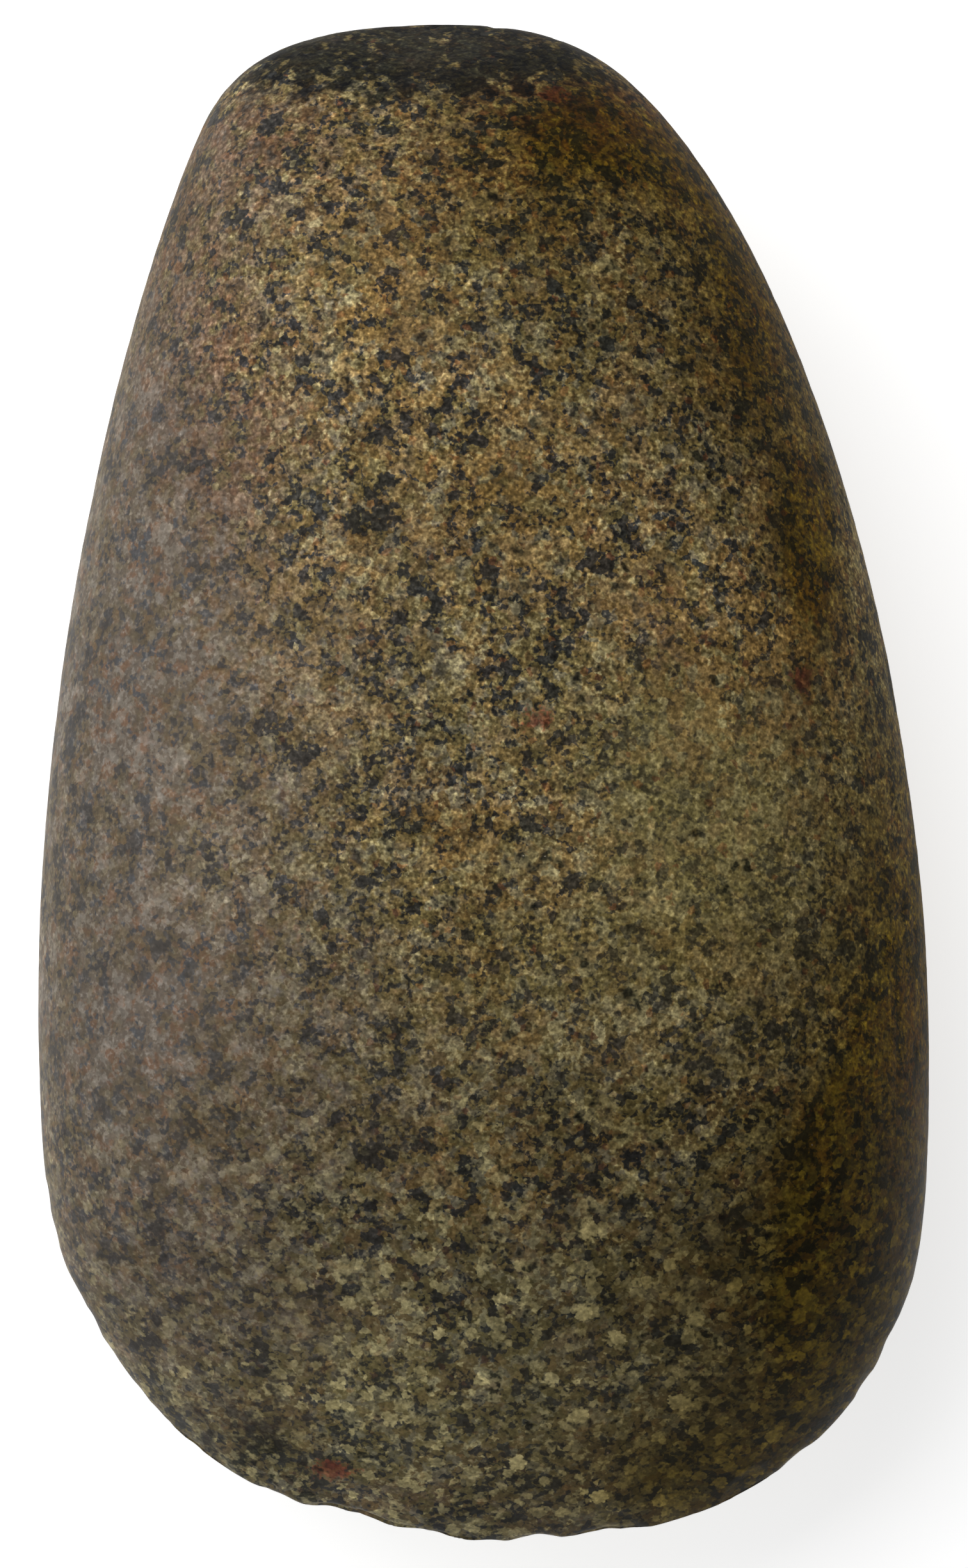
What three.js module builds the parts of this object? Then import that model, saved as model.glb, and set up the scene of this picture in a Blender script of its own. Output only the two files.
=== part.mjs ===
// A polished stone axe head, one ground stone lying on its back.
// Millimetres, +Z up. The butt points to +Y, the blade to -Y, and the front face looks up.
// The origin is on the surface that the stone rests on, under the middle of its length and width.

import * as THREE from "three";
import { mergeVertices } from "three/addons/utils/BufferGeometryUtils.js";

// Driving dimensions.
const LENGTH = 120; // from the butt's end to the cutting edge
const WIDTH = 70.5; // across the widest place, just above the blade's corners
const THICKNESS = 42; // from the rest flat to the crown of the front face
const RIM_HEIGHT = 20.4; // from the rest flat up to the rim, where the two faces meet
const REST_GRIND = 0.4; // how much is off the back's belly, which leaves the flat that it rests on
const FRONT_RISE = THICKNESS - RIM_HEIGHT;
const BACK_DROP = RIM_HEIGHT + REST_GRIND;

// The crown, where both faces are fullest, is a little nearer the blade than the middle.
const CROWN = new THREE.Vector2(-0.006 * WIDTH, -0.045 * LENGTH);

// The outline in plan, counter-clockwise. Each point has its place as shares of the width and the
// length, the way the outline runs there in degrees, and how far its curve holds to that way before
// and after the point, as shares of the length.
const OUTLINE = [
  { x: -0.04, y: 0.5, heading: 180, before: 0.076, after: 0.088 }, // butt's end
  { x: -0.315, y: 0.433, heading: 245.5, before: 0.056, after: 0.104 }, // left shoulder
  { x: -0.5, y: -0.142, heading: 270, before: 0.242, after: 0.155 }, // left flank
  { x: -0.376, y: -0.407, heading: 308.4, before: 0.101, after: 0.058 }, // left blade corner
  { x: 0.028, y: -0.5, heading: 0, before: 0.129, after: 0.126 }, // blade's tip
  { x: 0.427, y: -0.397, heading: 55.5, before: 0.073, after: 0.063 }, // right blade corner
  { x: 0.5, y: -0.179, heading: 90, before: 0.13, after: 0.253 }, // right flank
  { x: 0.184, y: 0.451, heading: 134.3, before: 0.145, after: 0.036 }, // right shoulder
];

// How a face falls from the crown to the rim: height share = (1 - reach ^ fall) ^ (1 / round).
// A round of 1 ends in a wedge and a round of 2 in a half ellipse.
const BLADE_PROFILE = { fall: 2.1, round: 1.1 };
const FLANK_PROFILE = { fall: 2.2, round: 2.05 };
const BUTT_PROFILE = { fall: 2.5, round: 2.15 };
// The outline is counted in turns: 0 at the butt's end, 1/4 and 3/4 at the flanks and 1/2 at the
// blade's tip.
const TIP_TURN = 0.5;
const TIP_TO_FLANK = 0.25;
const TIP_TO_BUTT = 0.5;
const SHARP_WITHIN = 0.05; // turns to each side of the tip with the blade's full wedge
const ROUND_BEYOND = 0.25; // turns from the tip at which the flank's round profile begins

// The poll, ground down at a slant across the front of the butt.
const POLL_SLANT = THREE.MathUtils.degToRad(63);
const POLL_OVERRUN = 0.2; // how far past the butt's end its plane meets the rim's height
const POLL_CRISPNESS = 5; // how crisp the crease is where the poll meets the face

// Chips along the cutting edge: the bearing from the crown, in degrees to the right of straight
// down the blade, half of the chip's width and its depth.
const EDGE_CHIPS = [
  { bearing: -41.4, halfWidth: 2.2, depth: 0.3 },
  { bearing: -17, halfWidth: 2.0, depth: 0.3 },
  { bearing: -10.8, halfWidth: 4.2, depth: 0.8 },
  { bearing: -4.8, halfWidth: 2.6, depth: 0.5 },
  { bearing: 4.7, halfWidth: 2.0, depth: 0.5 },
  { bearing: 10, halfWidth: 2.6, depth: 0.35 },
  { bearing: 27.5, halfWidth: 1.6, depth: 0.3 },
  { bearing: 40.8, halfWidth: 2.2, depth: 0.3 },
];

const GRID = 48; // cells across each face, an even number
const MERGE_WITHIN = 1e-4;

// A quarter of the outline, from one point of OUTLINE past the next to the one after it.
function quarterCurve(first) {
  const quarter = new THREE.CurvePath();
  for (const from of [first, first + 1]) {
    const a = OUTLINE[from];
    const b = OUTLINE[(from + 1) % OUTLINE.length];
    const start = new THREE.Vector2(a.x * WIDTH, a.y * LENGTH);
    const end = new THREE.Vector2(b.x * WIDTH, b.y * LENGTH);
    const leave = start.clone().add(along(a.heading, a.after * LENGTH));
    const arrive = end.clone().sub(along(b.heading, b.before * LENGTH));
    quarter.add(new THREE.CubicBezierCurve(start, leave, arrive, end));
  }
  return quarter;
}

function along(heading, distance) {
  const angle = THREE.MathUtils.degToRad(heading);
  return new THREE.Vector2(Math.cos(angle), Math.sin(angle)).multiplyScalar(distance);
}

const QUARTERS = [0, 2, 4, 6].map(quarterCurve);

// The unchipped rim at a turn from 0 to 1, as a step from the crown.
function rimStep(turn) {
  const position = THREE.MathUtils.euclideanModulo(turn, 1) * QUARTERS.length;
  const quarter = Math.floor(position);
  return QUARTERS[quarter].getPointAt(position - quarter).sub(CROWN);
}

// How far the chips set the rim back at this step from the crown.
function chipDepth(step) {
  const bearing = Math.atan2(step.x, -step.y);
  let depth = 0;
  for (const chip of EDGE_CHIPS) {
    const aside = (bearing - THREE.MathUtils.degToRad(chip.bearing)) * step.length();
    const share = Math.min(1, Math.abs(aside) / chip.halfWidth);
    depth = Math.max(depth, chip.depth * (1 - share * share));
  }
  return depth;
}

// The falling profile at a turn: the blade's, the flank's and the butt's, blended between them.
function profileAt(turn) {
  const fromTip = Math.abs(THREE.MathUtils.euclideanModulo(turn, 1) - TIP_TURN);
  const flankShare = THREE.MathUtils.smoothstep(fromTip, SHARP_WITHIN, ROUND_BEYOND);
  const buttShare = THREE.MathUtils.smoothstep(fromTip, TIP_TO_FLANK, TIP_TO_BUTT);
  const blend = (key) => {
    const lower = THREE.MathUtils.lerp(BLADE_PROFILE[key], FLANK_PROFILE[key], flankShare);
    return THREE.MathUtils.lerp(lower, BUTT_PROFILE[key], buttShare);
  };
  return { fall: blend("fall"), round: blend("round") };
}

// The lower of two heights, with the crease between them softened.
function softMin(a, b, crispness) {
  return (a * b) / Math.pow(Math.pow(a, crispness) + Math.pow(b, crispness), 1 / crispness);
}

// Height of the front face over the rim, with the poll ground into it.
function frontHeight(y, share) {
  const poll = Math.tan(POLL_SLANT) * (LENGTH / 2 + POLL_OVERRUN - y);
  return softMin(FRONT_RISE * share, poll, POLL_CRISPNESS);
}

// Height of the back face over the rim, which is below it, down to the rest flat.
function backHeight(share) {
  return Math.max(-BACK_DROP * share, -RIM_HEIGHT);
}

// The point of a face at a reach from 0 at the crown to 1 at the rim, and at a turn.
function facePoint(turn, reach, isFront) {
  const rim = rimStep(turn);
  const kept = 1 - chipDepth(rim) / rim.length();
  const x = CROWN.x + rim.x * kept * reach;
  const y = CROWN.y + rim.y * kept * reach;
  if (reach === 1) return new THREE.Vector3(x, y, RIM_HEIGHT);
  const { fall, round } = profileAt(turn);
  const share = Math.pow(1 - Math.pow(kept * reach, fall), 1 / round);
  const height = isFront ? frontHeight(y, share) : backHeight(share);
  return new THREE.Vector3(x, y, RIM_HEIGHT + height);
}

// The turn and the reach of a point of the square from -1 to 1. Squares round the middle become
// rings round the crown, closer together towards the rim, where the faces turn down.
function turnAndReach(u, v) {
  const ring = Math.max(Math.abs(u), Math.abs(v));
  const reach = ring === 1 ? 1 : Math.sin((ring * Math.PI) / 2);
  if (ring === 0) return { turn: 0, reach };
  if (v === ring) return { turn: -u / ring / 8, reach };
  if (u === -ring) return { turn: 1 / 4 - v / ring / 8, reach };
  if (v === -ring) return { turn: 1 / 2 + u / ring / 8, reach };
  return { turn: 3 / 4 + v / ring / 8, reach };
}

// One face as a grid of triangles, each cell split along its shorter diagonal.
function faceTriangles(isFront) {
  const at = (i, j) => {
    const { turn, reach } = turnAndReach((2 * i) / GRID - 1, (2 * j) / GRID - 1);
    return facePoint(turn, reach, isFront);
  };
  const points = [];
  for (let j = 0; j <= GRID; j++) {
    points.push(Array.from({ length: GRID + 1 }, (_, i) => at(i, j)));
  }
  const triangles = [];
  for (let j = 0; j < GRID; j++) {
    for (let i = 0; i < GRID; i++) {
      const cell = [points[j][i], points[j][i + 1], points[j + 1][i + 1], points[j + 1][i]];
      if (!isFront) cell.reverse();
      if (cell[1].distanceTo(cell[3]) < cell[0].distanceTo(cell[2])) cell.push(cell.shift());
      triangles.push(cell[0], cell[1], cell[2], cell[0], cell[2], cell[3]);
    }
  }
  return triangles;
}

function stoneGeometry() {
  const corners = [...faceTriangles(true), ...faceTriangles(false)];
  const loose = new THREE.BufferGeometry().setFromPoints(corners);
  const closed = mergeVertices(loose, MERGE_WITHIN);
  closed.computeVertexNormals();
  return closed;
}

const stone = new THREE.Mesh(
  stoneGeometry(),
  new THREE.MeshStandardMaterial({ color: 0x584f3a, roughness: 0.5, metalness: 0 }),
);
stone.name = "axe_head";

const axe = new THREE.Group();
axe.add(stone);

export default axe;
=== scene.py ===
"""Looks of the polished stone axe head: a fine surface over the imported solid, its stone, the studio.

Blender works in metres. The shapes and fields worked out here in numpy are in millimetres.
The butt is towards +Y, the cutting edge towards -Y and the front face looks up, towards +Z.
"""

import math

import bmesh
import bpy
import numpy as np
from mathutils import Euler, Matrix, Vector, noise


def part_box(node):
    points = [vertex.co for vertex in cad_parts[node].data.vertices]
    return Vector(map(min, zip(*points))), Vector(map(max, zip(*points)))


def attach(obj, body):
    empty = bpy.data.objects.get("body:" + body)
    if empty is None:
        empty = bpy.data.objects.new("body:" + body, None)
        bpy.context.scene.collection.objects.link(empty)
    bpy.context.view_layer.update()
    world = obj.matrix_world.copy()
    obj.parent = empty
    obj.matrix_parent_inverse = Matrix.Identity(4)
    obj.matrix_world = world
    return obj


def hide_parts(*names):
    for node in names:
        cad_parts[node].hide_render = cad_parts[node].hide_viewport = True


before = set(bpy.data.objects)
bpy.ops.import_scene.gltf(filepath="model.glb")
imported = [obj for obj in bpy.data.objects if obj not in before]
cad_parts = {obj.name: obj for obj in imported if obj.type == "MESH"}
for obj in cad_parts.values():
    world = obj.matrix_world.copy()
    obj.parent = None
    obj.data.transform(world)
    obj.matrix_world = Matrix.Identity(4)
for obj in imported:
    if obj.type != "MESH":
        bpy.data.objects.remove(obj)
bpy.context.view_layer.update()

MM = 0.001
TINY = 1e-6  # keeps a division by a length off zero
STONE_NODE = "axe_head"
LOW, HIGH = (np.array(corner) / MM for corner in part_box(STONE_NODE))
WIDTH, LENGTH, THICKNESS = HIGH - LOW
CROWN = np.array([-0.006 * WIDTH, -0.045 * LENGTH])  # where both faces are fullest


def smoothstep(values, start, end):
    """0 up to the start, 1 past the end and smooth between. The end may lie below the start."""
    t = np.clip((values - start) / (end - start), 0, 1)
    return t * t * (3 - 2 * t)


def link(item):
    """Puts an object in the scene."""
    bpy.context.scene.collection.objects.link(item)


# ---------------------------------------------------------------- the fine mesh

MERGE = 0.002  # corners nearer than this are one vertex
JOIN_BEND = math.radians(60)  # the most that two triangles joined into a quad bend
JOIN_SKEW = math.radians(100)  # the most that such a quad is skewed
SUBDIVISIONS = 2
RIM_BAND = 0.01  # how near the rim's height a vertex of the rim is
BLADE_CREASE_FROM = -0.20  # y where the rim starts to sharpen, as a share of the length
BLADE_CREASE_FULL = -0.36  # y where it is a full edge


def rows(items, key):
    """A vector of each item of a mesh, one row each."""
    values = np.empty(len(items) * 3)
    items.foreach_get(key, values)
    return values.reshape(-1, 3)


def coordinates(mesh):
    """The vertices, in millimetres."""
    return rows(mesh.vertices, "co") / MM


def rim_height(mesh):
    """Height of the widest ring of vertices, where the front and the back meet."""
    co = coordinates(mesh)
    widest = np.abs(co[:, 0]) > WIDTH / 2 - MERGE
    return float(np.median(co[widest, 2]))


RIM = rim_height(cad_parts[STONE_NODE].data)


def quads_from(node):
    """A copy of the solid's mesh with its triangles joined into quads and the blade's rim creased."""
    bm = bmesh.new()
    bm.from_mesh(node.data)
    bmesh.ops.remove_doubles(bm, verts=bm.verts, dist=MERGE * MM)
    bmesh.ops.join_triangles(
        bm,
        faces=bm.faces,
        angle_face_threshold=JOIN_BEND,
        angle_shape_threshold=JOIN_SKEW,
    )
    crease = bm.edges.layers.float.new("crease_edge")
    for edge in bm.edges:
        if all(abs(v.co.z / MM - RIM) < RIM_BAND for v in edge.verts):
            share = sum(v.co.y for v in edge.verts) / 2 / MM / LENGTH
            edge[crease] = float(smoothstep(share, BLADE_CREASE_FROM, BLADE_CREASE_FULL))
    mesh = bpy.data.meshes.new("stone_surface")
    bm.to_mesh(mesh)
    bm.free()
    return mesh


def subdivided(mesh, name):
    """The mesh as an object, with Catmull-Clark subdivision applied."""
    rough = bpy.data.objects.new(name + "_rough", mesh)
    link(rough)
    modifier = rough.modifiers.new("Subdivision", "SUBSURF")
    modifier.levels = SUBDIVISIONS
    modifier.render_levels = SUBDIVISIONS
    evaluated = rough.evaluated_get(bpy.context.evaluated_depsgraph_get())
    fine = bpy.data.meshes.new_from_object(evaluated)
    bpy.data.objects.remove(rough)
    fine.name = name
    stone = bpy.data.objects.new(name, fine)
    link(stone)
    return stone


# ---------------------------------------------------------------- where a point is on the stone

FRONT_FADE = 14  # how far under the rim the front's own marks run on

# Smooth noise. Each use of it has a seed of its own, which shifts it elsewhere.
OCTAVES = 2
OCTAVE_FALL = 1.0
OCTAVE_STEP = 2.0
SEED_SHIFT = Vector((37.1, 11.7, 23.3))
UNDULATION_SEED, GRAIN_SEED, PIT_SEED, GROUND_SEED, FRAY_SEED = range(1, 6)


class Places:
    """Where each vertex is: from the crown, on its way to the rim, and on the front or the back."""

    def __init__(self, co):
        self.co = co
        self.x, self.y, self.z = co.T
        self.from_crown = co[:, :2] - CROWN
        right, up = self.from_crown.T
        self.radius = np.hypot(right, up)
        self.bearing = np.arctan2(right, -up)  # 0 towards the blade, growing to the right
        on_rim = np.abs(self.z - RIM) < RIM_BAND
        order = np.argsort(self.bearing[on_rim])
        self.rim_radius = np.interp(
            self.bearing,
            self.bearing[on_rim][order],
            self.radius[on_rim][order],
            period=2 * math.pi,
        )
        self.reach = np.minimum(self.radius / self.rim_radius, 1)  # 0 at the crown, 1 at the rim
        self.front = smoothstep(self.z, RIM - FRONT_FADE, RIM)


def wavy(co, wavelength, seed):
    """Smooth noise, about -1 to 1, at each point."""
    shift = SEED_SHIFT * seed
    return np.array(
        [noise.fractal(Vector(p) / wavelength + shift, OCTAVE_FALL, OCTAVE_STEP, OCTAVES) for p in co]
    )


def hilly(co, wavelength, seed):
    """The same noise, about 0 to 1."""
    return 0.5 + 0.5 * wavy(co, wavelength, seed)


# ---------------------------------------------------------------- the relief

UNDULATION = 0.12  # the slow waves that grinding by hand leaves
UNDULATION_WAVE = 17
GRAIN_RELIEF = 0.06  # how far the harder grains stand out of the softer ones
GRAIN_WAVE = 1.3
GRAIN_KEPT = 0.35  # share of that relief which is left where the stone isn't pecked
PIT_DEPTH = 0.12
PIT_WAVE = 2.2
PIT_EDGE = (0.42, 0.67)  # the noise at a pit's edge and at its full depth
REST_CLEAR = (0.2, 2.5)  # heights over which the relief fades in above the rest flat

# Shallow flake scars on the front, along the cutting edge: how far right of the middle, half of
# the scar's width, its length up the face and its depth.
FLAKE_SCARS = [
    {"x": -9.3, "half_width": 4.6, "length": 2.6, "depth": 0.34},
    {"x": -2.2, "half_width": 2.0, "length": 1.5, "depth": 0.16},
    {"x": 9.6, "half_width": 2.8, "length": 1.8, "depth": 0.18},
    {"x": -22.5, "half_width": 2.4, "length": 1.6, "depth": 0.14},
    {"x": 21.0, "half_width": 2.2, "length": 1.5, "depth": 0.12},
]

# Small bites out of the cutting edge.
BITE_SEED = 7
BITE_COUNT = 34
BITE_SPAN = math.radians(52)  # bearings to each side of the blade's middle
BITE_HALF_WIDTH = (0.35, 1.3)
BITE_DEPTH = (0.03, 0.18)
BITE_SLOPE_FRONT = 5  # how many depths a bite's face runs up the front
BITE_SLOPE_BACK = 2.5


def surface_depth(places, pecked):
    """How deep the worn and pecked surface lies under the smooth one, at each vertex."""
    waves = UNDULATION * hilly(places.co, UNDULATION_WAVE, UNDULATION_SEED)
    grains = GRAIN_RELIEF * hilly(places.co, GRAIN_WAVE, GRAIN_SEED)
    grains *= GRAIN_KEPT + (1 - GRAIN_KEPT) * pecked
    pits = PIT_DEPTH * smoothstep(wavy(places.co, PIT_WAVE, PIT_SEED), *PIT_EDGE) * pecked
    return (waves + grains + pits) * smoothstep(places.z, *REST_CLEAR)


def scar_depth(places):
    """How deep the flake scars are, at each vertex."""
    depth = np.zeros(len(places.x))
    from_rim = places.rim_radius - places.radius
    for scar in FLAKE_SCARS:
        aside = (places.x - scar["x"]) / scar["half_width"]
        inward = from_rim / scar["length"]
        dish = np.clip(1 - aside**2 - inward**2, 0, 1)
        depth = np.maximum(depth, scar["depth"] * np.sqrt(dish) * (places.z > RIM - RIM_BAND))
    return depth * (places.y < CROWN[1])


def bite_depth(places):
    """How far small bites set the cutting edge back, at each vertex."""
    random = np.random.default_rng(BITE_SEED)
    depth = np.zeros(len(places.x))
    along = places.bearing * places.rim_radius
    for _ in range(BITE_COUNT):
        bearing = random.uniform(-BITE_SPAN, BITE_SPAN)
        half_width = random.uniform(*BITE_HALF_WIDTH)
        deepest = random.uniform(*BITE_DEPTH) * half_width / BITE_HALF_WIDTH[1]
        aside = np.clip(np.abs(along - bearing * places.rim_radius) / half_width, 0, 1)
        depth = np.maximum(depth, deepest * (1 - aside**2))
    return depth


def carve(mesh, places, pecked):
    """Moves the vertices in by the relief, and those of the cutting edge back by the bites."""
    inward = surface_depth(places, pecked) + scar_depth(places)
    co = places.co - rows(mesh.vertex_normals, "vector") * inward[:, None]
    bite = bite_depth(places)
    slope = np.where(places.z > RIM, BITE_SLOPE_FRONT, BITE_SLOPE_BACK)
    from_rim = (places.rim_radius - places.radius) / np.maximum(bite * slope, TINY)
    pull = bite * np.clip(1 - from_rim, 0, 1) / np.maximum(places.radius, TINY)
    co[:, :2] -= places.from_crown * pull[:, None]
    mesh.vertices.foreach_set("co", (co * MM).ravel())
    mesh.update()


# ---------------------------------------------------------------- the stone's zones

# Soft blots of each zone on the front. Ochre and russet are iron stains, green is the worn patch,
# the film is a grey skin on the left flank with a sheen painted over it, dark is painted shade,
# deepest down the right flank, which also makes the stone browner there, light is painted light,
# and slate is the near black of the poll and of a few spots. A blot is its middle across and along,
# its half width and half length, all as shares of the stone's half width and half length, and its
# strength.
BLOTS = {
    "ochre": [
        (-0.24, 0.65, 0.16, 0.20, 0.9),
        (0.12, 0.36, 0.34, 0.22, 0.8),
        (0.60, 0.16, 0.22, 0.14, 0.9),
        (-0.43, 0.20, 0.18, 0.16, 0.8),
        (0.00, -0.05, 0.40, 0.12, 0.5),
        (0.02, -0.52, 0.30, 0.08, 0.9),
        (0.05, -0.30, 0.12, 0.10, 0.6),
        (0.80, -0.55, 0.16, 0.14, 0.5),
    ],
    "green": [
        (0.46, 0.04, 0.24, 0.12, 1.0),
        (0.54, -0.12, 0.28, 0.14, 0.7),
        (0.20, -0.25, 0.40, 0.14, 0.4),
        (0.05, -0.80, 0.75, 0.22, 0.4),
    ],
    "russet": [
        (-0.66, 0.62, 0.15, 0.26, 1.1),
        (-0.42, 0.82, 0.22, 0.10, 0.4),
        (0.05, 0.80, 0.34, 0.07, 0.5),
        (-0.56, 0.42, 0.16, 0.16, 0.9),
        (0.12, 0.885, 0.16, 0.035, 1.3),
        (0.34, 0.88, 0.16, 0.05, 0.8),
        (-0.50, 0.84, 0.14, 0.06, 0.6),
        (0.42, 0.20, 0.10, 0.05, 0.4),
        (0.94, -0.42, 0.05, 0.18, 1.0),
        (0.62, 0.60, 0.22, 0.26, 0.45),
        (-0.72, -0.26, 0.10, 0.12, 0.6),
        (-0.10, -0.94, 0.20, 0.03, 0.7),
    ],
    "film_and_sheen": [
        (-0.80, 0.12, 0.42, 0.28, 0.95),
        (-0.76, -0.34, 0.42, 0.24, 0.95),
        (-0.76, 0.50, 0.18, 0.24, 0.6),
        (-0.66, -0.66, 0.26, 0.12, 0.45),
        (-0.60, 0.80, 0.14, 0.12, 0.45),
    ],
    "dark": [
        (1.00, -0.20, 0.26, 0.62, 1.0),
        (0.78, -0.68, 0.30, 0.28, 1.0),
        (0.72, 0.30, 0.08, 0.14, 0.9),
        (0.60, 0.62, 0.20, 0.28, 1.0),
        (0.28, 0.84, 0.38, 0.14, 0.9),
        (0.00, -0.20, 0.18, 0.10, 0.35),
        (0.06, 0.72, 0.24, 0.15, 0.35),
        (-0.68, 0.76, 0.12, 0.14, 0.3),
        (0.00, 0.36, 0.12, 0.08, 0.35),
        (0.45, -0.22, 0.24, 0.08, 0.3),
        (0.32, -0.64, 0.22, 0.09, 0.3),
        (0.95, -0.56, 0.20, 0.30, 0.5),
        (0.44, -0.92, 0.26, 0.10, 0.8),
        (0.25, 0.57, 0.12, 0.08, 0.4),
        (-0.26, 0.34, 0.05, 0.14, 0.35),
        (-0.10, -0.06, 0.12, 0.04, 0.5),
        (0.30, -0.44, 0.34, 0.06, 0.4),
        (-0.58, -0.44, 0.10, 0.05, 0.4),
    ],
    "light": [
        (0.43, 0.24, 0.16, 0.09, 1.0),
        (-0.18, -0.80, 0.36, 0.14, 1.0),
        (-0.28, 0.52, 0.24, 0.22, 0.3),
        (-0.62, 0.10, 0.20, 0.32, 0.9),
        (-0.62, -0.40, 0.20, 0.26, 0.9),
    ],
    "slate": [
        (-0.10, 0.94, 0.30, 0.040, 1.2),
        (0.00, 0.98, 0.55, 0.045, 0.8),
        (0.02, 0.88, 0.40, 0.05, 0.25),
        (-0.46, 0.92, 0.14, 0.05, 0.5),
        (-0.52, -0.87, 0.16, 0.08, 0.55),
        (-0.12, 0.02, 0.10, 0.04, 0.3),
    ],
}

# Single grains that stand out on the front: the place and the size.
RED_GRAINS = [
    {"x": 4.3, "y": 4.9, "size": (1.4, 0.7)},
    {"x": -11.9, "y": -54.0, "size": (1.7, 0.8)},
    {"x": 5.6, "y": 53.6, "size": (1.2, 0.7)},
    {"x": 24.6, "y": 8.0, "size": (0.9, 1.2)},
]
PALE_GRAINS = [
    {"x": 15.3, "y": -48.4, "size": (0.9, 0.7)},
    {"x": 9.1, "y": -56.2, "size": (0.8, 0.5)},
    {"x": 14.0, "y": -56.7, "size": (0.6, 0.4)},
    {"x": 2.7, "y": -53.3, "size": (0.7, 0.6)},
    {"x": 8.1, "y": -34.4, "size": (0.8, 0.9)},
    {"x": 1.4, "y": -40.0, "size": (0.7, 0.6)},
    {"x": 7.8, "y": -41.1, "size": (0.8, 0.6)},
    {"x": 10.4, "y": -43.1, "size": (0.6, 0.6)},
    {"x": 7.4, "y": -49.4, "size": (0.8, 0.6)},
    {"x": -3.5, "y": -42.7, "size": (0.6, 0.5)},
]

FRAY = 0.15  # strength of the noise that frays the blots
FRAY_WAVE = 7
PEAK_FALL = 0.7  # a single grain's peak is down to a half at its size
GROUND_EDGE = (-0.20, -0.65)  # y where grinding starts and where it is full, in half lengths
GROUND_DRIFT = 0.12  # how far that wanders up and down, in half lengths
GROUND_WAVE = 22
GROUND_SMOOTH = 0.75  # share of the pecking that grinding takes away
FILM_SMOOTH = 0.85  # and that the film, with the sheen painted on it, covers


def blots(places, spots, fray):
    """The sum of soft blots on the front, from 0 to 1, with noise added all over to fray it."""
    across = places.x / (WIDTH / 2)
    along = places.y / (LENGTH / 2)
    total = np.zeros(len(across))
    for middle_x, middle_y, half_width, half_length, strength in spots:
        dx = (across - middle_x) / half_width
        dy = (along - middle_y) / half_length
        total += strength * np.exp(-(dx**2) - dy**2)
    return np.clip(total * places.front + fray, 0, 1)


def grains(places, spots):
    """Peaks of 1 over single grains of the front."""
    total = np.zeros(len(places.x))
    for spot in spots:
        dx = (places.x - spot["x"]) / spot["size"][0]
        dy = (places.y - spot["y"]) / spot["size"][1]
        total = np.maximum(total, np.exp(-PEAK_FALL * (dx**2 + dy**2)))
    return total * places.front


def zones(places):
    """The fields that the stone's material reads, each from 0 to 1 at each vertex."""
    fray = FRAY * wavy(places.co, FRAY_WAVE, FRAY_SEED)
    fields = {name: blots(places, spots, fray) for name, spots in BLOTS.items()}
    along = places.y / (LENGTH / 2) + GROUND_DRIFT * wavy(places.co, GROUND_WAVE, GROUND_SEED)
    fields["ground"] = smoothstep(along, *GROUND_EDGE)
    fields["pecked"] = (1 - GROUND_SMOOTH * fields["ground"]) * (1 - FILM_SMOOTH * fields["film_and_sheen"])
    fields["red_grain"] = grains(places, RED_GRAINS)
    fields["pale_grain"] = grains(places, PALE_GRAINS)
    return fields


def store(mesh, fields):
    """Keeps the fields on the mesh's vertices, under their names."""
    for name, values in fields.items():
        mesh.attributes.new(name, "FLOAT", "POINT").data.foreach_set("value", values)


# ---------------------------------------------------------------- the map for baking

MAP_GUTTER = 0.006  # bare margin around each half, as a share of the square
MAP_HALF = np.array([0.5, 1.0])  # the share of the square that one face takes


def add_bake_map(mesh, places):
    """The front in the left half of the square and the back, turned over, in the right half.

    Towards the rim, where the faces are steep, the map is spread so that they get their share.
    """
    spread = 2 / math.pi * np.arcsin(places.reach) * places.rim_radius
    flat = CROWN + places.from_crown / np.maximum(places.radius, TINY)[:, None] * spread[:, None]
    share = (flat - LOW[:2]) / (HIGH[:2] - LOW[:2])
    gutter = MAP_GUTTER / MAP_HALF
    share = gutter + share * (1 - 2 * gutter)
    corner_vertex = np.empty(len(mesh.loops), dtype=np.int32)
    mesh.loops.foreach_get("vertex_index", corner_vertex)
    uv = share[corner_vertex] * MAP_HALF
    face_of_corner = np.repeat(np.arange(len(mesh.polygons)), [p.loop_total for p in mesh.polygons])
    is_back = rows(mesh.polygons, "center")[:, 2] / MM < RIM
    uv[:, 0] = np.where(is_back[face_of_corner], 1 - uv[:, 0], uv[:, 0])
    mesh.uv_layers.new(name="OFBake").data.foreach_set("uv", uv.ravel())


# ---------------------------------------------------------------- building a material

NOISE_TURN = (0.6, 0.9, 0.4)  # radians
NO_PUSH = (0.5, 0.5, 0.5)  # a noise's middle colour

# The mix node's sockets for colours, which have the same names as its sockets for numbers.
MIX_FACTOR, MIX_FIRST, MIX_SECOND = 0, 6, 7
MIX_COLOUR = 2


def srgb(red, green, blue):
    """A colour given as 0 to 255 on screen, as the linear colour that a shader takes."""
    shares = np.array([red, green, blue]) / 255
    linear = np.where(shares <= 0.04045, shares / 12.92, ((shares + 0.055) / 1.055) ** 2.4)
    return (*linear, 1)


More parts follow.
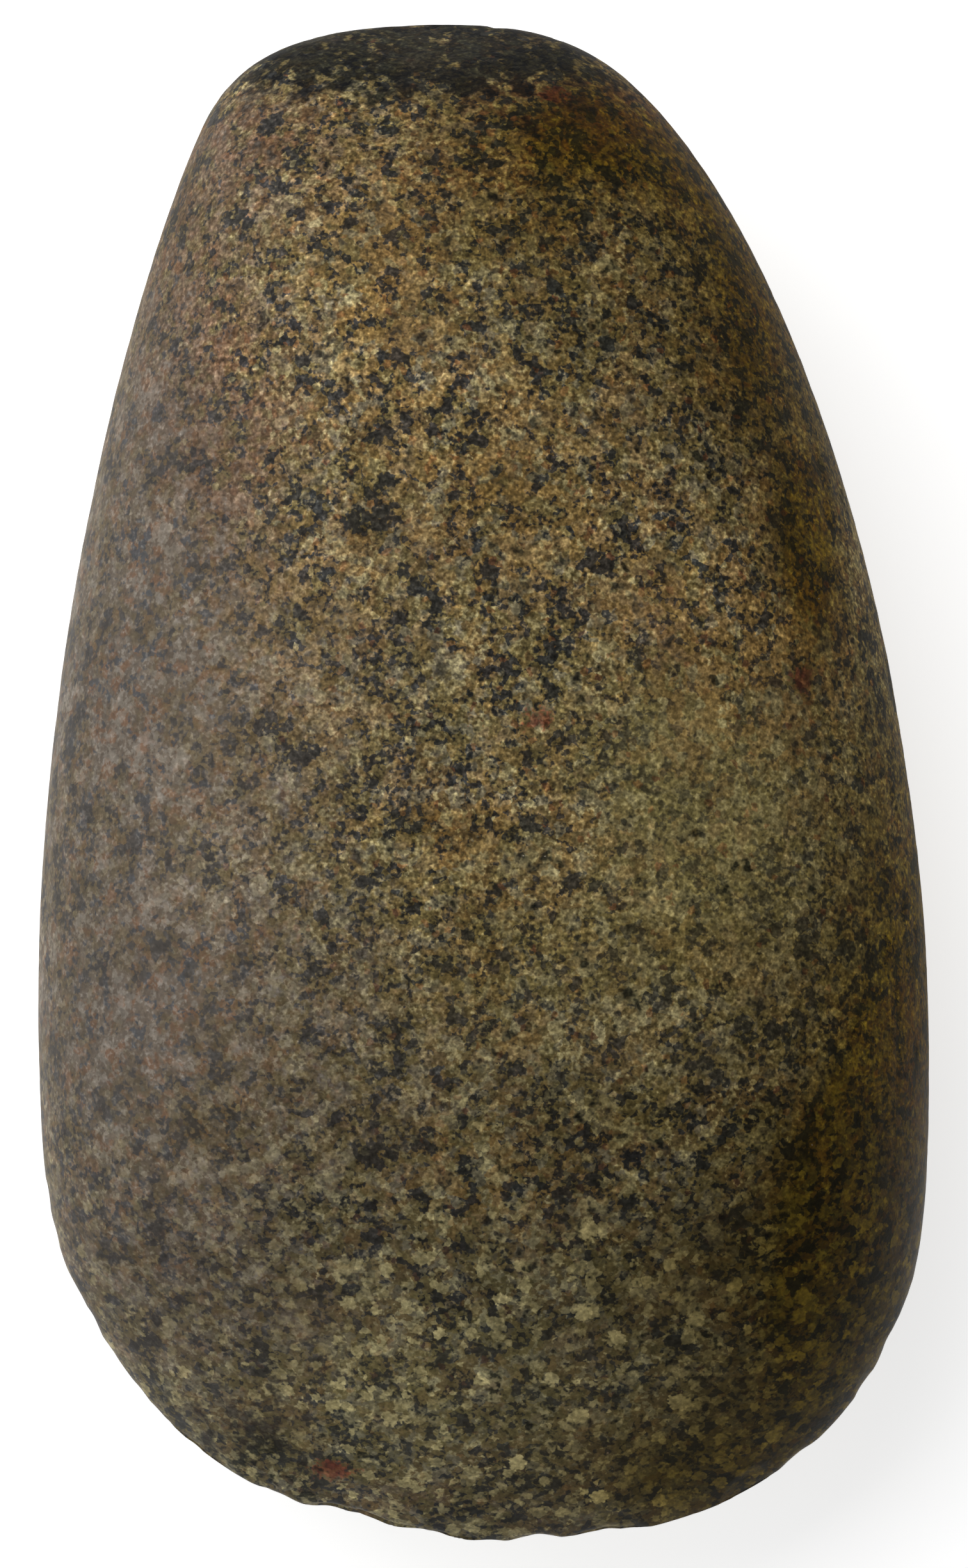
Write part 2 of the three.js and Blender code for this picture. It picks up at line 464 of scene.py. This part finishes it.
class Nodes:
    """Adds nodes to a material and gives back the output that is used."""

    def __init__(self, material):
        self.tree = material.node_tree

    def add(self, kind, inputs, output=0, **settings):
        """A node with its inputs set to numbers or joined to other nodes' outputs."""
        node = self.tree.nodes.new(kind)
        for key, value in settings.items():
            setattr(node, key, value)
        for key, value in inputs.items():
            if isinstance(value, bpy.types.NodeSocket):
                self.tree.links.new(value, node.inputs[key])
            else:
                node.inputs[key].default_value = value
        return node.outputs[output]

    def field(self, name):
        """A field stored on the mesh."""
        return self.add("ShaderNodeAttribute", {}, "Fac", attribute_name=name)

    def millimetres(self):
        """The place on the object, turned so that the noise's own grid lies askew to the faces."""
        place = self.add("ShaderNodeTexCoord", {}, "Object")
        inputs = {"Vector": place, "Rotation": NOISE_TURN, "Scale": (1 / MM, 1 / MM, 1 / MM)}
        return self.add("ShaderNodeMapping", inputs)

    def noise(self, place, size, detail=2.0, roughness=0.6, output="Fac"):
        """Noise whose largest lumps are about this size."""
        inputs = {"Vector": place, "Scale": 1 / size, "Detail": detail, "Roughness": roughness}
        return self.add("ShaderNodeTexNoise", inputs, output)

    def cells(self, place, size, fray, push):
        """Cells of about this size, pushed about by noise whose lumps are as large as the fray.

        Gives three random numbers for each cell, then how far off its middle is, in cells.
        """
        inputs = {"Vector": self.pushed(place, fray, push), "Scale": 1 / size}
        colour = self.add("ShaderNodeTexVoronoi", inputs, "Color")
        split = self.tree.nodes.new("ShaderNodeSeparateColor")
        self.tree.links.new(colour, split.inputs[0])
        return (*split.outputs, colour.node.outputs["Distance"])

    def pushed(self, place, size, push):
        """The place, pushed about by noise of this size."""
        shift = self.noise(place, size, detail=1.0, roughness=0.5, output="Color")
        shift = self.add("ShaderNodeVectorMath", {0: shift, 1: NO_PUSH}, operation="SUBTRACT")
        shift = self.times(shift, push)
        return self.add("ShaderNodeVectorMath", {0: place, 1: shift}, operation="ADD")

    def math(self, operation, first, second=0.0):
        return self.add("ShaderNodeMath", {0: first, 1: second}, operation=operation)

    def product(self, first, second):
        return self.math("MULTIPLY", first, second)

    def sum(self, base, *terms):
        """base plus each weight times its value less a half. A term is (weight, value)."""
        total = base
        for weight, value in terms:
            centred = self.math("SUBTRACT", value, 0.5)
            inputs = {0: centred, 1: weight, 2: total}
            total = self.add("ShaderNodeMath", inputs, operation="MULTIPLY_ADD")
        return total

    def step(self, value, start, end, low=0.0, high=1.0):
        """low up to the start, high past the end and smooth between."""
        inputs = {"Value": value, "From Min": start, "From Max": end, "To Min": low, "To Max": high}
        return self.add("ShaderNodeMapRange", inputs, interpolation_type="SMOOTHSTEP")

    def between(self, factor, low, high):
        """low where the factor is 0, high where it is 1 and even between."""
        inputs = {"Value": factor, "To Min": low, "To Max": high}
        return self.add("ShaderNodeMapRange", inputs)

    def mix(self, factor, first, second, blend="MIX"):
        """The first colour, going over to the second, or to their blend, with the factor."""
        inputs = {MIX_FACTOR: factor, MIX_FIRST: first, MIX_SECOND: second}
        return self.add("ShaderNodeMix", inputs, MIX_COLOUR, data_type="RGBA", blend_type=blend)

    def times(self, vector, factor):
        """A vector made longer or shorter, or a colour made lighter or darker."""
        return self.add("ShaderNodeVectorMath", {0: vector, "Scale": factor}, operation="SCALE")


# ---------------------------------------------------------------- the stone's material

# An EDGE is the value at which a layer starts and the value at which it is full, and a MOST is the
# largest share of its colour that is mixed in. A pair with IN_ in its name is what a thing is
# outside a zone and what it is within it.

# How large the lumps of each noise are.
SPECK_SIZE = 0.36
FLECK_SIZE = 0.9
CLUSTER_SIZE = 2.4
STAIN_SIZE = 5.0
OCHRE_SIZE = 1.7
FILM_RUST_SIZE = 1.3

LARGE_CELLS = {"size": 1.05, "fray": 0.45, "push": 0.6}
SMALL_CELLS = {"size": 0.50, "fray": 0.30, "push": 0.3}
ROUND_CELLS = {"size": 1.35, "fray": 0.7, "push": 0.9}


class Rock(Nodes):
    """What the layers of the stone share: its zones, its noises and its cells' random numbers."""

    def __init__(self, material):
        super().__init__(material)
        self.place = self.millimetres()
        self.ground = self.field("ground")
        self.pecked = self.field("pecked")
        self.green = self.field("green")
        self.dark = self.field("dark")
        self.film_and_sheen = self.field("film_and_sheen")
        self.specks = self.noise(self.place, SPECK_SIZE, detail=1.5)
        self.flecks = self.noise(self.place, FLECK_SIZE)
        self.clusters = self.noise(self.place, CLUSTER_SIZE)
        self.stains = self.noise(self.place, STAIN_SIZE, detail=3.0)
        self.large, self.tint, self.weight, _ = self.cells(self.place, **LARGE_CELLS)
        self.small, self.tone, self.rare, _ = self.cells(self.place, **SMALL_CELLS)
        self.girth, self.bloom, _, self.off_middle = self.cells(self.place, **ROUND_CELLS)


FELDSPAR_OVER_IN_GROUND = (0.68, 0.74)  # a mineral number over this is feldspar
FELDSPAR_EDGE = (-0.04, 0.04)
FELDSPAR_IN_GREEN = (1.0, 0.6)
HORNBLENDE_UNDER_IN_GROUND = (0.36, 0.38)  # and one under this is hornblende
HORNBLENDE_EDGE = (0.07, -0.06)
HORNBLENDE_IN_GREEN = (1.0, 0.55)


def minerals(rock):
    """Where the pale feldspar grains are, and where the dark hornblende grains are."""
    mineral = rock.sum(
        0.5,
        (0.40, rock.large),
        (0.42, rock.small),
        (1.2, rock.clusters),
        (0.5, rock.stains),
        (0.45, rock.specks),
    )
    over = rock.between(rock.ground, *FELDSPAR_OVER_IN_GROUND)
    feldspar = rock.step(rock.math("SUBTRACT", mineral, over), *FELDSPAR_EDGE)
    feldspar = rock.product(feldspar, rock.between(rock.green, *FELDSPAR_IN_GREEN))
    # A few more hornblende grains where shade is painted.
    under = rock.sum(rock.between(rock.ground, *HORNBLENDE_UNDER_IN_GROUND), (0.05, rock.dark))
    hornblende = rock.step(rock.math("SUBTRACT", mineral, under), *HORNBLENDE_EDGE)
    hornblende = rock.product(hornblende, rock.between(rock.green, *HORNBLENDE_IN_GREEN))
    return feldspar, hornblende


KHAKI = srgb(126, 110, 68)
OLIVE = srgb(112, 101, 64)
BROWN = srgb(104, 85, 56)
BROWN_EDGE = (0.42, 0.62)
GREY = srgb(110, 106, 90)
GREY_EDGE = (0.50, 0.68)
GREY_MOST = 0.65
GREY_GREEN = srgb(136, 124, 76)
GREEN_MOST = 0.75


def fine_mass(rock):
    """The fine mass that the grains lie in: khaki to olive, browner and greyer in places."""
    colour = rock.mix(rock.tint, KHAKI, OLIVE)
    brown = rock.step(rock.sum(rock.stains, (0.4, rock.flecks)), *BROWN_EDGE)
    colour = rock.mix(brown, colour, BROWN)
    greyness = rock.sum(rock.clusters, (0.9, rock.flecks), (0.5, rock.weight))
    grey = rock.step(greyness, *GREY_EDGE, high=GREY_MOST)
    colour = rock.mix(grey, colour, GREY)
    return rock.mix(rock.product(rock.green, GREEN_MOST), colour, GREY_GREEN)


OCHRE = srgb(138, 108, 60)
OCHRE_EDGE = (0.44, 0.60)
OCHRE_IN_ZONE = (0.25, 0.75)
RUSSET = srgb(102, 68, 44)
RUSSET_EDGE = (0.34, 0.60)
RUSSET_MOST = 0.8


def iron_stains(rock, colour):
    """Ochre and russet stains. They lie under the dark grains, which take none."""
    zone = rock.field("ochre")
    patches = rock.noise(rock.place, OCHRE_SIZE)
    ochre = rock.step(rock.sum(patches, (0.3, zone), (0.5, rock.tint)), *OCHRE_EDGE)
    colour = rock.mix(rock.product(ochre, rock.between(zone, *OCHRE_IN_ZONE)), colour, OCHRE)
    patches = rock.step(rock.sum(rock.clusters, (0.6, rock.flecks)), *RUSSET_EDGE)
    russet = rock.product(rock.field("russet"), patches)
    return rock.mix(rock.product(russet, RUSSET_MOST), colour, RUSSET)


GROUND_TINT = (0.58, 0.61, 0.68, 1)
GROUND_PALE = srgb(150, 139, 98)
GIRTH = (0.16, 0.52)  # radius of the smallest and of the largest grain, in cells
ROUND_EDGE = (-0.06, 0.06)
ROUND_IN_GROUND = (0.0, 0.85)
BLOOM = (0.3, 1.0)  # strength of the faintest and of the palest grain


def ground_blade(rock, colour):
    """The blade, which is ground: darker and cooler, with rounded pale grains."""
    colour = rock.mix(rock.ground, colour, GROUND_TINT, "MULTIPLY")
    girth = rock.sum(rock.between(rock.girth, *GIRTH), (0.9, rock.clusters), (0.5, rock.specks))
    rounded = rock.step(rock.math("SUBTRACT", girth, rock.off_middle), *ROUND_EDGE)
    rounded = rock.product(rounded, rock.between(rock.ground, *ROUND_IN_GROUND))
    bloom = rock.between(rock.bloom, *BLOOM)
    return rock.mix(rock.product(rounded, bloom), colour, GROUND_PALE)


CREAM = srgb(176, 163, 116)
CREAM_EDGE = (0.975, 0.985)
CREAM_MOST = 0.4
RUST = srgb(124, 80, 46)
RUST_EDGE = (0.030, 0.020)
RUST_MOST = 0.5
RUST_IN_GROUND = (1.0, 0.3)
RED = srgb(100, 48, 32)
RED_EDGE = (0.35, 0.75)
RED_MOST = 0.75
PALE_EDGE = (0.42, 0.54)
PALE_MOST = 0.8


def odd_grains(rock, colour):
    """A few cream and rusty grains anywhere, then the single red and pale grains."""
    colour = rock.mix(rock.step(rock.rare, *CREAM_EDGE, high=CREAM_MOST), colour, CREAM)
    rust = rock.step(rock.rare, *RUST_EDGE, high=RUST_MOST)
    rust = rock.product(rust, rock.between(rock.ground, *RUST_IN_GROUND))
    colour = rock.mix(rust, colour, RUST)
    red = rock.sum(rock.field("red_grain"), (1.2, rock.flecks), (1.2, rock.specks))
    colour = rock.mix(rock.product(rock.step(red, *RED_EDGE), RED_MOST), colour, RED)
    pale = rock.sum(rock.field("pale_grain"), (1.0, rock.flecks), (0.5, rock.specks))
    return rock.mix(rock.product(rock.step(pale, *PALE_EDGE), PALE_MOST), colour, CREAM)


SLATE_TINT = (0.08, 0.09, 0.10, 1)
SLATE_EDGE = (0.30, 0.85)


def slate(rock, colour):
    """The near black of the poll and of a few spots, broken up by the grain."""
    zone = rock.field("slate")
    ragged = rock.sum(zone, (2.6, rock.clusters), (2.4, rock.flecks), (0.9, rock.specks))
    return rock.mix(rock.step(ragged, *SLATE_EDGE), colour, SLATE_TINT, "MULTIPLY")


UNDER_FILM = srgb(98, 84, 70)
UNDER_FILM_MOST = 0.6
# The film's grey, which is also the sheen painted on the left flank.
FILM_AND_SHEEN = srgb(99, 89, 79)
FILM_COVER_EDGE = (0.34, 0.60)
FILM_COVER = (0.40, 0.85)  # the film's cover where it is thinnest and where it is thickest
FILM_RUST = srgb(116, 84, 62)
FILM_RUST_EDGE = (0.50, 0.62)
FILM_RUST_MOST = 0.7
FILM_SLATE = srgb(72, 76, 80)
FILM_SLATE_MOST = 0.9
FILM_DUST = srgb(130, 124, 116)
FILM_DUST_EDGE = (0.56, 0.72)
FILM_DUST_MOST = 0.4
FILM_FELDSPAR_MOST = 0.45


def with_film_and_sheen(rock, colour, feldspar, hornblende):
    """The grey film of the left flank and the sheen painted on it, uneven, with the two minerals
    showing faintly through it.
    """
    rust = rock.noise(rock.place, FILM_RUST_SIZE)
    film_and_sheen = rock.mix(rock.step(rust, *FILM_RUST_EDGE, high=FILM_RUST_MOST), FILM_AND_SHEEN, FILM_RUST)
    film_and_sheen = rock.mix(rock.product(hornblende, FILM_SLATE_MOST), film_and_sheen, FILM_SLATE)
    film_and_sheen = rock.mix(rock.product(feldspar, FILM_FELDSPAR_MOST), film_and_sheen, FILM_DUST)
    dust = rock.sum(rock.specks, (0.6, rock.flecks))
    film_and_sheen = rock.mix(rock.step(dust, *FILM_DUST_EDGE, high=FILM_DUST_MOST), film_and_sheen, FILM_DUST)
    thickness = rock.sum(rock.stains, (0.8, rock.clusters), (0.6, rock.flecks))
    cover = rock.step(thickness, *FILM_COVER_EDGE, *FILM_COVER)
    colour = rock.mix(rock.product(rock.film_and_sheen, UNDER_FILM_MOST), colour, UNDER_FILM)
    return rock.mix(rock.product(rock.film_and_sheen, cover), colour, film_and_sheen)


SHADE_BASE = 0.16
CRISP_IN_PECKED = (0.25, 1.0)
SHADE_IN_GREEN = (1.0, 0.75)
SHADE_IN_DARK = (1.0, 0.85)
SHADE_IN_FILM = (1.0, 0.6)
SHADOW_TINT = (0.46, 0.36, 0.06, 1)
GLINT = srgb(205, 198, 180)
GLINT_EDGE = (0.80, 0.88)
GLINT_MOST = 0.7


def shaded(rock, colour):
    """Tone from grain to grain, stronger where the stone is pecked, where it is partly the painted
    shade of the pits; painted light and painted shade over the blots; and a few glints, painted
    as pale specks.
    """
    shade = rock.product(rock.sum(0.0, (4.5, rock.specks)), rock.between(rock.pecked, *CRISP_IN_PECKED))
    shade = rock.sum(
        rock.math("ADD", shade, SHADE_BASE),
        (0.5, rock.tone),
        (0.3, rock.weight),
        (0.8, rock.flecks),
        (1.2, rock.clusters),
        (1.2, rock.stains),
    )
    # Calmer grain in the green patch, under the painted shade and under the film's painted sheen.
    calm = rock.product(
        rock.between(rock.green, *SHADE_IN_GREEN),
        rock.between(rock.dark, *SHADE_IN_DARK),
    )
    calm = rock.product(calm, rock.between(rock.film_and_sheen, *SHADE_IN_FILM))
    # Painted light over the light blots, and painted shade where the film is thickest.
    shade = rock.sum(rock.product(shade, calm), (0.35, rock.field("light")), (-0.3, rock.film_and_sheen))
    colour = rock.times(colour, rock.math("EXPONENT", shade))
    # Painted shade over the dark blots, which also makes the stone browner there.
    colour = rock.mix(rock.dark, colour, SHADOW_TINT, "MULTIPLY")
    glint = rock.step(rock.sum(rock.specks, (0.3, rock.flecks)), *GLINT_EDGE)
    return rock.mix(rock.product(glint, GLINT_MOST), colour, GLINT)


BUMP_IN_PECKED = (0.3, 1.0)
BUMP_STRENGTH = 0.8


def bump(rock):
    """The grain's finest relief, as a change of the normal. Its weights are heights in mm."""
    height = rock.sum(0.0, (0.07, rock.specks), (0.05, rock.flecks))
    height = rock.product(height, rock.product(rock.between(rock.pecked, *BUMP_IN_PECKED), MM))
    return rock.add("ShaderNodeBump", {"Height": height, "Distance": 1.0, "Strength": BUMP_STRENGTH})


FELDSPAR = srgb(158, 146, 104)
FELDSPAR_MOST_IN_GROUND = (0.55, 0.8)
HORNBLENDE = srgb(33, 40, 47)
HORNBLENDE_MOST = 0.85
ROUGHNESS_IN_PECKED = (0.46, 0.72)
SPECULAR_LEVEL = 0.1


def make_stone():
    """Diorite: ragged pale and dark grains in a stained mass, pecked rough or ground smooth."""
    material = bpy.data.materials.new("stone")
    material.use_nodes = True
    rock = Rock(material)
    feldspar, hornblende = minerals(rock)

    colour = fine_mass(rock)
    pale = rock.product(feldspar, rock.between(rock.ground, *FELDSPAR_MOST_IN_GROUND))
    colour = rock.mix(pale, colour, FELDSPAR)
    colour = iron_stains(rock, colour)
    colour = rock.mix(rock.product(hornblende, HORNBLENDE_MOST), colour, HORNBLENDE)
    colour = ground_blade(rock, colour)
    colour = odd_grains(rock, colour)
    colour = slate(rock, colour)
    colour = with_film_and_sheen(rock, colour, feldspar, hornblende)
    colour = shaded(rock, colour)
    roughness = rock.sum(rock.between(rock.pecked, *ROUGHNESS_IN_PECKED), (0.25, rock.specks))

    shader = rock.tree.nodes["Principled BSDF"]
    shader.inputs["Specular IOR Level"].default_value = SPECULAR_LEVEL
    rock.tree.links.new(colour, shader.inputs["Base Color"])
    rock.tree.links.new(roughness, shader.inputs["Roughness"])
    rock.tree.links.new(bump(rock), shader.inputs["Normal"])
    return material


# ---------------------------------------------------------------- the studio

FRAME_FILL = 0.9686  # share of the picture's height that the stone takes
AIM = (0.025, -0.126)  # the point that the camera looks straight down at
LENS = 180
SENSOR = 36  # along the picture's height, its longer side
WHITE = (1, 1, 1, 1)

# Lengths from here on are in metres.
CLIP = (0.01, 10)
FLOOR_HALF_SIDE = 3.0
FLOOR_PAPER = (0.8, 0.8, 0.8, 1)
FLOOR_ROUGHNESS = 0.9
FLOOR_SPECULAR = 0.1
FLOOR_GLOW = 0.68  # the paper floor is lit from below too, so that it stays pale
WORLD_LIGHT = 0.15
BACKDROP_WHITE = 1.0
COOL_DAYLIGHT = (0.94, 0.97, 1.0)


def make_camera():
    """Looks straight down, from so far that the stone fills its share of the picture."""
    data = bpy.data.cameras.new("camera")
    data.lens = LENS
    data.sensor_width = SENSOR
    data.clip_start, data.clip_end = CLIP
    camera = bpy.data.objects.new("camera", data)
    distance = LENGTH / FRAME_FILL * LENS / SENSOR
    camera.location = (AIM[0] * MM, AIM[1] * MM, (RIM + distance) * MM)
    link(camera)
    bpy.context.scene.camera = camera


def make_floor():
    """A sheet of white paper under the stone, far past the picture's edges."""
    side = FLOOR_HALF_SIDE
    mesh = bpy.data.meshes.new("floor")
    corners = [(-side, -side, 0), (side, -side, 0), (side, side, 0), (-side, side, 0)]
    mesh.from_pydata(corners, [], [(0, 1, 2, 3)])
    material = bpy.data.materials.new("floor_paper")
    material.use_nodes = True
    shader = material.node_tree.nodes["Principled BSDF"]
    shader.inputs["Base Color"].default_value = FLOOR_PAPER
    shader.inputs["Roughness"].default_value = FLOOR_ROUGHNESS
    shader.inputs["Specular IOR Level"].default_value = FLOOR_SPECULAR
    shader.inputs["Emission Color"].default_value = WHITE
    shader.inputs["Emission Strength"].default_value = FLOOR_GLOW
    mesh.materials.append(material)
    floor = bpy.data.objects.new("floor", mesh)
    link(floor)


def softbox(name, bearing, elevation, distance, size, radiance, colour=(1, 1, 1)):
    """An area light of even brightness that faces the stone. radiance is how bright it looks.

    The bearing is in degrees from +X towards +Y and the elevation in degrees over the floor.
    """
    data = bpy.data.lights.new(name, "AREA")
    data.shape = "RECTANGLE"
    data.size, data.size_y = size
    data.energy = radiance * math.pi * size[0] * size[1]
    data.color = colour
    light = bpy.data.objects.new(name, data)
    away = Vector((distance, 0, 0))
    away.rotate(Euler((0, -math.radians(elevation), math.radians(bearing))))
    light.location = away + Vector((0, 0, THICKNESS / 2 * MM))
    light.rotation_euler = away.to_track_quat("Z", "Y").to_euler()
    light.visible_camera = False
    link(light)


def make_world(radiance):
    """Even light from all around, and a pale backdrop behind the floor."""
    world = bpy.data.worlds.new("studio")
    world.use_nodes = True
    tree = world.node_tree
    background = tree.nodes["Background"]
    background.inputs["Color"].default_value = WHITE
    seen = tree.nodes.new("ShaderNodeLightPath")
    strength = tree.nodes.new("ShaderNodeMapRange")
    strength.inputs["To Min"].default_value = radiance
    strength.inputs["To Max"].default_value = BACKDROP_WHITE
    tree.links.new(seen.outputs["Is Camera Ray"], strength.inputs["Value"])
    tree.links.new(strength.outputs["Result"], background.inputs["Strength"])
    bpy.context.scene.world = world


# ---------------------------------------------------------------- all of it

make_camera()

stone = subdivided(quads_from(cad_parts[STONE_NODE]), "stone_axe_head")
places = Places(coordinates(stone.data))
fields = zones(places)
add_bake_map(stone.data, places)
store(stone.data, fields)
carve(stone.data, places, fields["pecked"])
stone.data.shade_smooth()
stone.data.materials.clear()
stone.data.materials.append(make_stone())
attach(stone, "root")
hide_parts(STONE_NODE)

make_floor()
make_world(WORLD_LIGHT)
softbox(
    "window_left",
    bearing=172,
    elevation=20,
    distance=2.0,
    size=(2.8, 1.4),
    radiance=2.2,
    colour=COOL_DAYLIGHT,
)
softbox("key", bearing=125, elevation=55, distance=1.2, size=(0.8, 0.8), radiance=3.2)
bpy.context.scene.view_settings.view_transform = "Standard"
